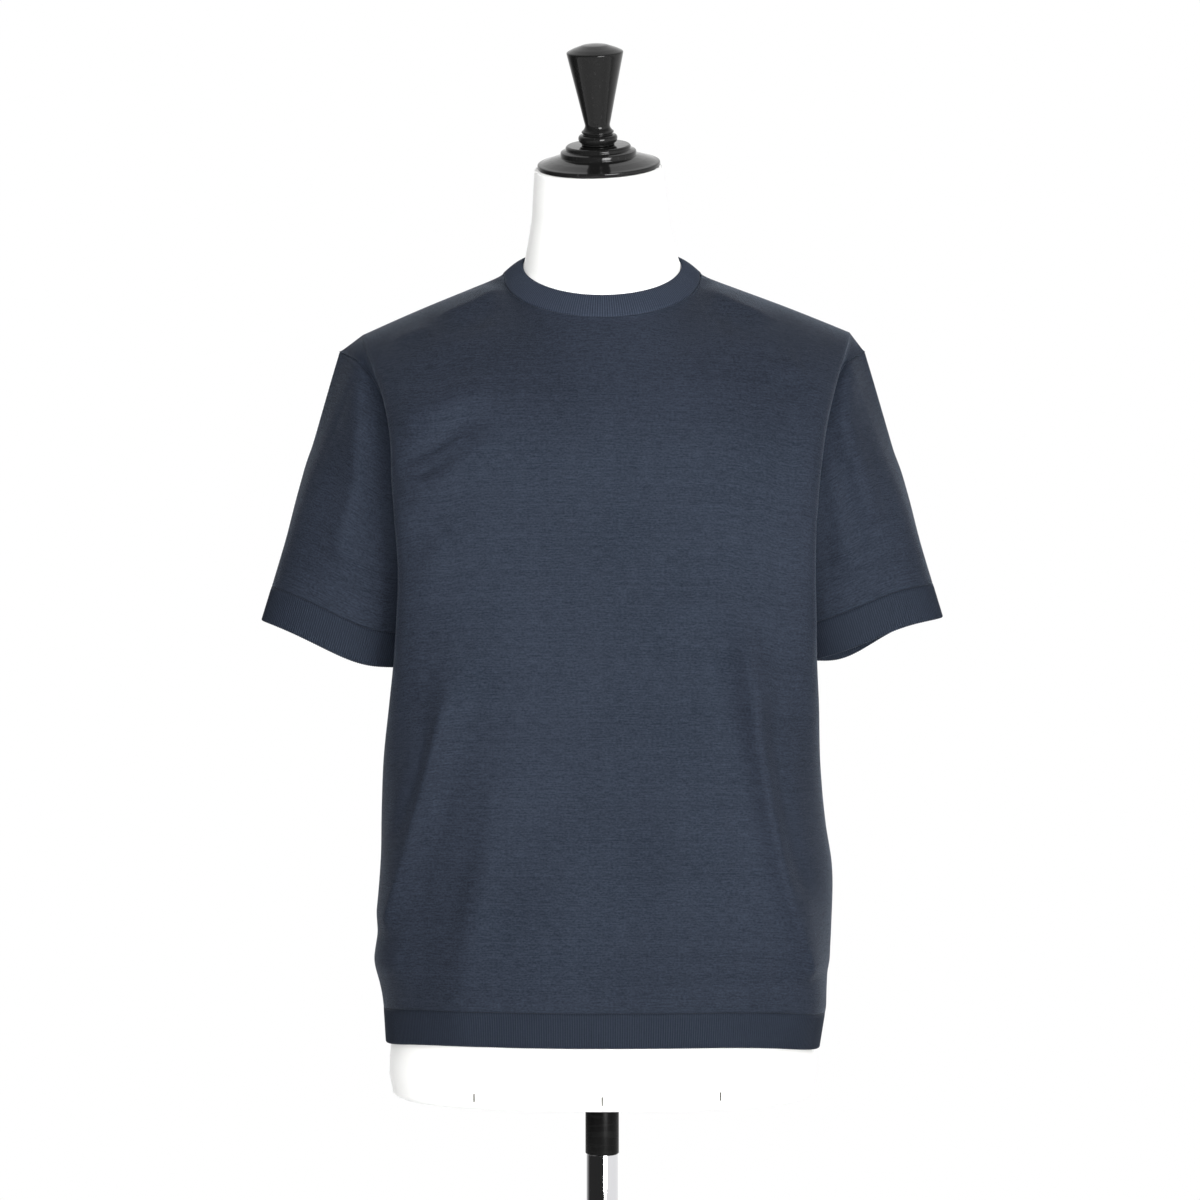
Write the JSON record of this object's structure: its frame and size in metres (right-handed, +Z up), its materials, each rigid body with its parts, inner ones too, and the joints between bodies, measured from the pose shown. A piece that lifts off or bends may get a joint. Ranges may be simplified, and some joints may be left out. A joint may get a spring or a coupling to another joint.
{
  "type": "crew neck t-shirt on a limbless dress form with a pole stand",
  "caption": "Short-sleeved crew neck T-shirt of fine jersey with ribbed collar, hem and cuffs, worn by a limbless dress form with a neck knob, on a pole with a round base.",
  "frame": {"origin": "centre of the underside of the round base", "axes": "+Z up the pole, the front of the shirt faces -Y, and +X is to the right of someone who looks at the front"},
  "size_m": [0.6274, 0.4, 1.6623],
  "materials": {
    "jersey": "fine matt jersey in dark slate navy",
    "rib": "fine one-by-one rib in the same navy",
    "form_cover": "white stretch cover, matt",
    "black_lacquer": "gloss black turned cap and knob",
    "black_plastic": "satin black",
    "chrome": "polished",
    "black_paint": "satin black powder coat"
  },
  "bodies": {
    "root": {"shirt_front": "jersey", "shirt_back": "jersey", "sleeve_left": "jersey", "sleeve_right": "jersey", "neck_rib": "rib", "hem_band": "rib", "cuff_band_left": "rib", "cuff_band_right": "rib", "form_torso": "form_cover", "form_neck_cap": "black_lacquer", "form_knob": "black_lacquer", "stand_socket": "black_plastic", "stand_pole": "chrome", "stand_base": "black_paint"}
  },
  "joints": []
}
